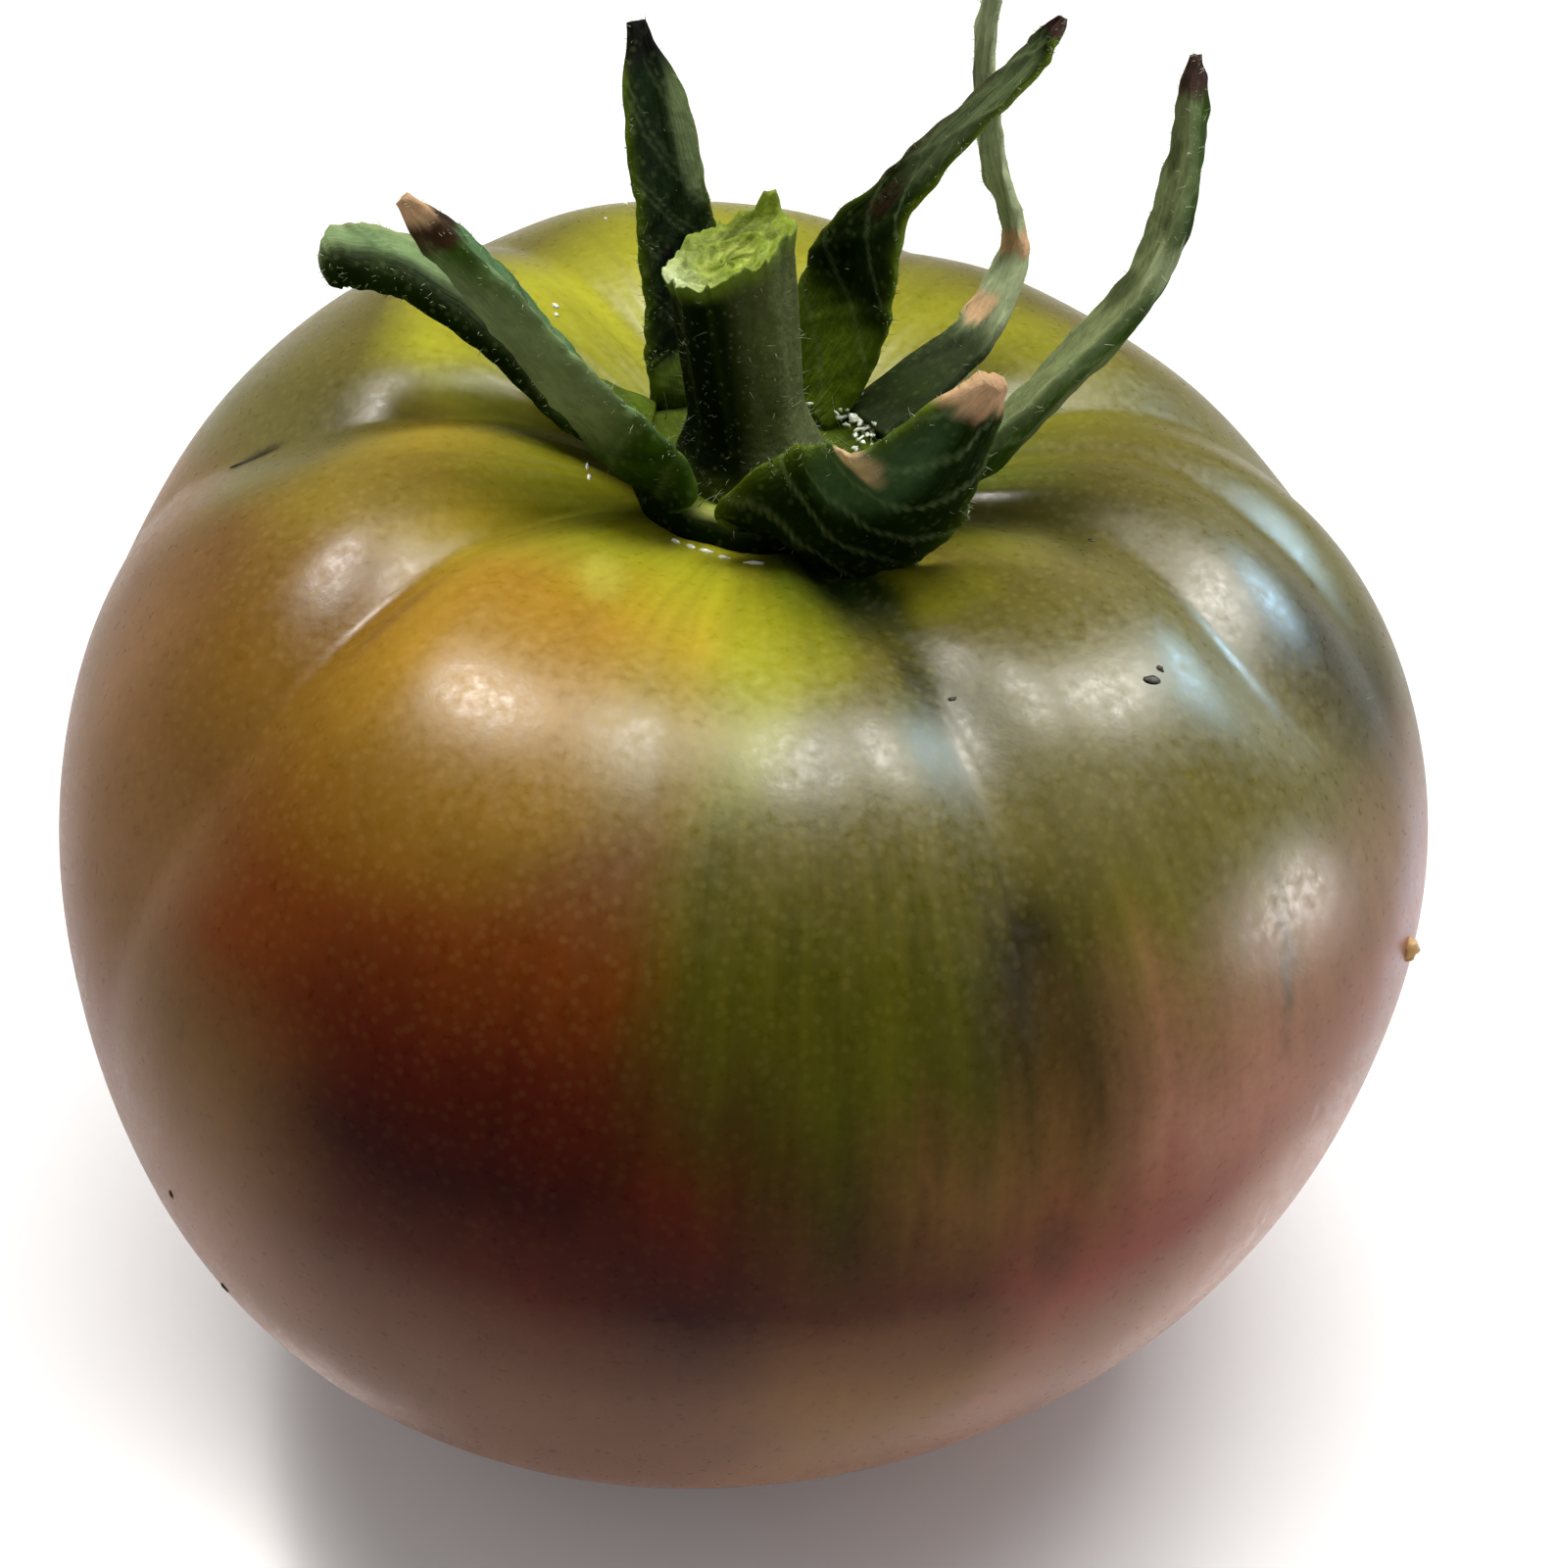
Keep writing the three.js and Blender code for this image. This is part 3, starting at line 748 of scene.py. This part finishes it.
def makeStem(material):
    # a ribbed round stub that flares at its foot and leans, with a slanted, sunken, torn cut
    rows, columns = 110, 96
    share = np.linspace(0.004, 0.996, rows)
    turn = np.arange(columns) * 360 / columns
    s, t = np.meshgrid(share, turn, indexing="ij")
    angle = np.radians(t)
    footEnd = stub["footEnd"]
    sideEnd = stub["sideEnd"]
    outwards = np.clip(np.minimum(s / footEnd, (1 - s) / (1 - sideEnd)), 0, 1)
    climb = np.clip((s - footEnd) / (sideEnd - footEnd), 0, 1)
    cut = s > sideEnd
    radius = blend(stub["footRadius"], stub["radius"], ease(climb * stub["height"], 0, stub["flare"]))
    flutes = 0.035 * np.cos(angle * 8 + 0.4 * climb) + 0.03 * ripple(angle * 3 + climb * 2, 5)
    flare = 0.06 * ease(climb, 0.9, 1) * (1 + 0.8 * ripple(angle * 6, 8))
    radius = outwards * radius * (1 + flutes * ease(outwards, 0.5, 1) + flare)
    x = radius * np.cos(angle)
    y = radius * np.sin(angle)
    foot = skinAbove(t, radius, 0.8)[..., 2]
    rise = climb * (stub["height"] + x * math.tan(math.radians(stub["cutSlope"])))
    shift = climb * stub["height"] * math.tan(math.radians(stub["lean"]))
    ragged = 0.35 * ripple(angle * 7, 9, 8) * ease(outwards, 0.7, 1) * ease(climb, 0.85, 1)
    shred = stub["shredHeight"] * np.exp(-(turnsApart(t, stub["shredTurn"]) / stub["shredHalf"]) ** 4)
    shred = shred * ease(outwards, 0.84, 0.97) * ease(climb, 0.94, 1)
    bowl = 0.9 * ease(1 - outwards, 0.05, 0.4) - 0.45 * np.exp(-((outwards - 0.55) / 0.1) ** 2)
    sunk = np.where(cut, bowl, 0)
    sunk = sunk + np.where(cut, 0.18 * ripple(angle * 5 + outwards * 12, 10, 7), 0)
    points = np.stack([x + shift, y, blend(foot, hollowFloor, climb) + rise + ragged + shred - sunk], -1)
    # the side is painted pale towards turn 338 and dark round the far side: painted light and shade
    paintedLightShare = ease(np.cos(angle - math.radians(338)), 0.1, 0.95)
    side = blend(tone(15, 26, 3), tone(98, 106, 62), paintedLightShare[..., None])
    stripes = ease(ripple(angle * 9 + climb, 77, 6), 0, 1) * ease(climb, 0.05, 0.4)
    side = blend(side, tone(52, 66, 18), (0.35 * stripes)[..., None])
    side = blend(side, tone(96, 112, 22), (0.6 * (1 - ease(climb, 0.03, 0.22)))[..., None])
    side = blend(side, tone(112, 134, 44), (0.85 * ease(climb, 0.9, 1))[..., None])
    rings = 0.5 + 0.5 * np.cos(outwards * 17)
    face = blend(tone(120, 138, 40), tone(176, 186, 92), (0.6 * rings)[..., None])
    pale = np.exp(-(turnsApart(t, 200) / 40) ** 2) * ease(outwards, 0.4, 0.8)
    face = blend(face, tone(206, 216, 168), (0.8 * pale)[..., None])
    face = blend(face, tone(70, 96, 24), (0.5 * np.exp(-((outwards - 0.72) / 0.06) ** 2))[..., None])
    paint = np.where(cut[..., None], face, side)
    body = ringBody("stemStub", placed(points)[:, ::-1], material, paint=paint[:, ::-1],
                    grow=(points / 3)[:, ::-1], streaky=np.ones_like(s), flecked=np.full_like(s, 0.15))
    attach(body, "root")
    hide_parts("stem_stub")
    return placed(points), outwards, climb


hubPoints, hubOut = makeHub(leaf)
stemFinish = grownMaterial("stemFlesh", {
    "cloudSize": 300, "cloud": 0.9, "grainSize": 1800, "grain": 0.6, "streak": 0.5, "streakSize": 4.0,
    "fleckSize": 1700, "fleckLevel": 0.28, "fleckColour": tone(170, 176, 136), "roughness": 0.6,
    "bumpSize": 1500, "bump": 0.6, "bumpDepth": 0.3, "ribs": 0.6,
    "shader": {"IOR": 1.33, "Specular IOR Level": 0.03},
})
stemPoints, stemOut, stemClimb = makeStem(stemFinish)
print("hub and stem made")

# hairs
hairs = {"sides": 3, "rings": 4, "radius": 0.018, "tone": tone(168, 178, 140)}


def growHairs(name, roots, ways, lengths, seed, material):
    # each hair is a three-sided spike that bends as it rises: root + way * length * t + droop * t squared
    rng = np.random.default_rng(seed)
    count, rings, sides = len(roots), hairs["rings"], hairs["sides"]
    droop = rng.normal(0, 0.35, (count, 3)) * lengths[:, None]
    t = np.linspace(0, 0.85, rings)
    straight = ways[:, None] * (lengths[:, None] * t)[..., None]
    line = roots[:, None] + straight + droop[:, None] * (t ** 2)[None, :, None]
    tips = roots + ways * lengths[:, None] + droop
    side = unit(np.cross(ways, rng.normal(0, 1, (count, 3))))
    up = np.cross(ways, side)
    angle = -np.arange(sides) * tau / sides
    girth = hairs["radius"] * (1 + lengths[:, None]) * (1 - 0.75 * t)
    circle = side[:, None] * np.cos(angle)[None, :, None] + up[:, None] * np.sin(angle)[None, :, None]
    body = line[:, :, None] + circle[:, None] * girth[..., None, None]
    points = np.concatenate([body.reshape(count, -1, 3), roots[:, None], tips[:, None]], 1)
    shade = np.repeat(rng.uniform(0.7, 1.2, count), rings * sides + 2)
    paint = np.clip(hairs["tone"] * shade[:, None], 0, 1)
    body = addMesh(name, points.reshape(-1, 3), ringFaces(rings, sides, count), material, {"paint": paint})
    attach(body, "root")


def surfaceNormals(points):
    # across each grid of points, the way that both its edges stand square to
    down = np.gradient(points, axis=0)
    over = np.roll(points, -1, 1) - np.roll(points, 1, 1)
    return unit(np.cross(down, over))


def pickHairs(points, chance, count, seed, lengths, outward=-1, forwards=0.5):
    # roots picked on a grid by chance, leaning out from the surface and a little towards the tip
    rng = np.random.default_rng(seed)
    weights = chance.ravel() / chance.sum()
    pick = rng.choice(weights.size, count, p=weights)
    normals = outward * surfaceNormals(points).reshape(-1, 3)[pick]
    along = unit(np.gradient(points, axis=0)).reshape(-1, 3)[pick]
    ways = unit(normals + forwards * along + rng.normal(0, 0.4, (count, 3)))
    return points.reshape(-1, 3)[pick], ways, rng.uniform(*lengths, count)


hairFinish = grownMaterial("paleHair", {
    "cloudSize": 400, "cloud": 0.5, "grainSize": 3000, "grain": 0.4, "streak": 0.0, "streakSize": 1.0,
    "fleckSize": 900, "fleckLevel": 0.0, "fleckColour": hairs["tone"], "roughness": 0.5,
    "bumpSize": 2000, "bump": 0.1, "bumpDepth": 0.02, "ribs": 0.0,
    "shader": {"IOR": 1.3, "Specular IOR Level": 0.2},
})
for number, (points, share, across, face) in enumerate(blades):
    chance = (0.2 + np.abs(across) ** 6 * 3) * ease(share, 0.05, 0.2)
    picked = pickHairs(points, chance, 260, 100 + number, (0.12, 0.42))
    growHairs("hairs_" + sepals[number]["name"], *picked, 200 + number, hairFinish)
picked = pickHairs(stemPoints, (stemOut > 0.98) * (0.3 + (1 - stemClimb)), 360, 110, (0.15, 0.6))
growHairs("hairs_stem", *picked, 210, hairFinish)
cup = (hubOut > 0.55) * (hubOut < 0.97)
picked = pickHairs(hubPoints, cup + 0.0, 130, 120, (0.4, 1.7), 1, -0.2)
growHairs("hairs_cup", *picked, 220, hairFinish)
print("hairs grown")

# bits: crumbs, specks, and pale flakes that are partly dry skin and partly painted glints.
# Each row is turn, dip, lift, and the half length, width and height, then its heading: 0 down the skin
# and 90 along the turn
bits = {
    "skinSpecks": {"tone": tone(44, 38, 22), "shine": 0.5, "slot": "skin", "rows": [
        (316, 37, 0, 0.5, 0.28, 0.14, 60), (318, 36.6, 0, 0.22, 0.18, 0.1, 20),
        (294, 32, 0, 0.26, 0.12, 0.08, 80), (336, 25, 0, 0.2, 0.14, 0.08, 0),
        (225, 95, 0, 0.4, 0.16, 0.1, 0), (228, 105, 0, 0.42, 0.22, 0.12, 30),
        (178.6, 44.5, 0, 1.9, 0.13, 0.05, 2), (178.1, 47.6, 0, 0.8, 0.14, 0.05, -14)]},
    "skinBump": {"tone": tone(184, 150, 100), "shine": 0.4, "slot": "skin", "rows": [
        (333, 78.6, 0.1, 0.7, 0.5, 0.55, 0), (333.3, 80, 0.05, 0.4, 0.35, 0.35, 0)]},
    # pale glossy flakes along the calyx's edge and on the back shoulder: partly dry skin, partly painted
    # glints
    "flakesAndGlints": {"tone": tone(226, 228, 212), "shine": 0.22, "slot": "skin", "rows": [
        (190, 11.4, 0, 0.5, 0.14, 0.12, 80), (196, 11.4, 0, 0.4, 0.14, 0.12, 70),
        (239, 9.4, 0, 0.3, 0.16, 0.14, 90), (245, 9.4, 0, 0.34, 0.2, 0.16, 70),
        (251, 9.4, 0, 0.44, 0.22, 0.16, 90), (258, 9.8, 0, 0.4, 0.16, 0.12, 80),
        (268, 10.6, 0, 0.66, 0.2, 0.14, 96), (320, 12.6, 0, 0.3, 0.2, 0.16, 60),
        (326, 13, 0, 0.4, 0.08, 0.08, 90), (331, 13.4, 0, 0.6, 0.14, 0.14, 88),
        (339, 14.4, 0, 0.2, 0.14, 0.14, 90), (135, 21, 0, 0.3, 0.2, 0.16, 0),
        (137, 20, 0, 0.2, 0.16, 0.12, 0), (107, 38, 0, 0.24, 0.14, 0.12, 0),
        (112, 33, 0, 0.16, 0.1, 0.1, 0)]},
    "blackSpot": {"tone": tone(8, 7, 4), "shine": 0.5, "slot": "calyx", "rows": [
        (38, 9.4, 2.6, 0.55, 0.4, 0.25, 30)]},
}
# turn and dip are a middle and a spread, and lift and size run from the first to the second
crumbs = {
    "count": 64, "turn": (22, 11), "dip": (7.8, 0.9), "lift": (2.3, 2.9), "size": (0.08, 0.26),
    "tone": tone(214, 220, 200),
}


def makeBits(name, rows, colour, seed, material):
    # each bit is an uneven ball stretched along its heading, across it and out from the skin
    rng = np.random.default_rng(seed)
    turn, dip, lift, length, width, height, heading = np.array(rows, float).T
    spots = placed(skinPoint(turn, dip))
    down = unit(placed(skinPoint(turn, dip + 0.2)) - spots)
    over = placed(skinPoint(turn + 0.2, dip)) - spots
    out = unit(np.cross(down, over))
    spots = spots + out * lift[:, None]
    h = np.radians(heading)[:, None]
    along = down * np.cos(h) + np.cross(out, down) * np.sin(h)
    beside = np.cross(out, along)
    rings, sides = 5, 10
    rise, around = np.meshgrid(np.linspace(0.35, 2.8, rings), np.arange(sides) * tau / sides, indexing="ij")
    ball = np.stack([np.sin(rise) * np.cos(around), np.sin(rise) * np.sin(around), np.cos(rise)], -1)
    ball = np.concatenate([ball.reshape(-1, 3), [[0, 0, 1], [0, 0, -1]]])
    shape = ball * (1 + rng.normal(0, 0.16, (len(rows), len(ball), 1)))
    shape = shape * np.stack([length, width, height], -1)[:, None]
    ways = (along, beside, out)
    points = spots[:, None] + sum(shape[..., k:k + 1] * ways[k][:, None] for k in range(3))
    # each bit gets a random tone, and its outer side is painted lighter and its side towards the skin darker:
    # painted light and shade
    shade = rng.uniform(0.75, 1.15, (len(rows), 1, 1)) * (1 + 0.12 * ball[None, :, 2:])
    paint = np.clip(colour * shade, 0, 1)
    body = addMesh(name, points.reshape(-1, 3), ringFaces(rings, sides, len(rows)), material,
                   {"paint": paint.reshape(-1, 3)})
    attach(body, "root")


def bitFinish(name, colour, shine):
    return grownMaterial(name, {
        "cloudSize": 900, "cloud": 0.8, "grainSize": 4000, "grain": 0.5, "streak": 0.0, "streakSize": 1.0,
        "fleckSize": 900, "fleckLevel": 0.0, "fleckColour": colour, "roughness": shine,
        "bumpSize": 3000, "bump": 0.4, "bumpDepth": 0.05, "ribs": 0.0,
        "shader": {"IOR": 1.4, "Specular IOR Level": 0.06},
    })


for number, (name, bit) in enumerate(bits.items()):
    finish = bitFinish(name + "Finish", bit["tone"], bit["shine"])
    makeBits(name, bit["rows"], bit["tone"], 300 + number, finish)
dice = np.random.default_rng(310)
sizes = dice.uniform(*crumbs["size"], (crumbs["count"], 3)) * [1.3, 0.8, 0.6]
heaps = np.stack([
    dice.normal(*crumbs["turn"], crumbs["count"]), dice.normal(*crumbs["dip"], crumbs["count"]),
    dice.uniform(*crumbs["lift"], crumbs["count"]), *sizes.T, dice.uniform(0, 180, crumbs["count"]),
], -1)
makeBits("crumbs", heaps, crumbs["tone"], 311, bitFinish("crumbFinish", crumbs["tone"], 0.3))
print("bits made")

# studio
studio = {
    "floorSize": 6000, "floor": tone(240, 240, 242), "floorRoughness": 0.25, "floorShine": 0.15, "world": 0.5,
    # name, x, y, z in metres, width, height, power, colour, and whether it makes highlights rather than light
    "panels": [
        ("overhead", 0.05, 0.2, 0.8, 0.7, 0.5, 8, (1, 0.985, 0.95), False),
        ("leftlight", -0.23, 0.19, 0.75, 0.18, 0.17, 31, (1, 0.95, 0.91), True),
        ("skylight", 0.13, 0.06, 0.75, 0.28, 0.2, 34, (1, 0.98, 0.93), True),
        ("sidelight", 0.48, 0.22, 0.73, 0.24, 0.32, 44, (1, 0.98, 0.95), True),
        ("window", 0.57, 0.34, 0.38, 0.16, 0.18, 15, (0.45, 0.72, 1.0), True),
        ("glow", 0.63, -0.06, 0.05, 0.2, 0.1, 7, (1, 0.96, 0.98), True),
    ],
    # the dark board, in metres, and how far it leans back
    "flag": {"distance": 0.26, "height": 0.12, "wide": 0.5, "tall": 0.34, "tilt": 20},
}


def makePanels(scene, middle):
    # area lights that all face the fruit's middle
    for name, x, y, z, width, height, power, colour, onlyShine in studio["panels"]:
        light = bpy.data.lights.new(name, "AREA")
        light.shape = "RECTANGLE"
        light.size = width
        light.size_y = height
        light.energy = power
        light.color = colour
        lamp = bpy.data.objects.new(name, light)
        scene.collection.objects.link(lamp)
        lamp.location = (x, y, z)
        lamp.rotation_mode = "QUATERNION"
        lamp.rotation_quaternion = (lamp.location - middle).to_track_quat("Z", "Y")
        lamp.visible_camera = False
        lamp.visible_diffuse = not onlyShine
        lamp.visible_glossy = onlyShine


def makeStudio():
    # a white table, one wide panel overhead for light, smaller ones for highlights, and a dark board
    # in front that the camera doesn't see
    scene = bpy.context.scene
    scene.view_settings.view_transform = "Standard"
    world = bpy.data.worlds.new("studio")
    scene.world = world
    world.use_nodes = True
    world.node_tree.nodes["Background"].inputs["Color"].default_value = (1, 1, 1, 1)
    world.node_tree.nodes["Background"].inputs["Strength"].default_value = studio["world"]
    low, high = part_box("fruit")
    makePanels(scene, (low + high) / 2)
    size = studio["floorSize"] / 2
    corners = np.array([(-size, -size, 0), (size, -size, 0), (size, size, 0), (-size, size, 0)], float)
    white = plainMaterial("whiteTable", studio["floor"], studio["floorRoughness"], studio["floorShine"])
    floor = addMesh("table", corners, [(0, 1, 2, 3)], white, {})
    flag = studio["flag"]
    lean = math.radians(flag["tilt"])
    across = np.array([1, 0, 0]) * flag["wide"] / 2
    upwards = np.array([0, -math.sin(lean), math.cos(lean)]) * flag["tall"] / 2
    centre = np.array([0, -flag["distance"], flag["height"] + flag["tall"] / 2])
    corners = np.array([centre - across - upwards, centre + across - upwards,
                        centre + across + upwards, centre - across + upwards]) / mm
    dark = plainMaterial("darkBoard", tone(8, 8, 8), 1.0, 0.0)
    board = addMesh("darkBoard", corners, [(0, 1, 2, 3)], dark, {})
    board.visible_camera = False


makeStudio()
print("studio made")
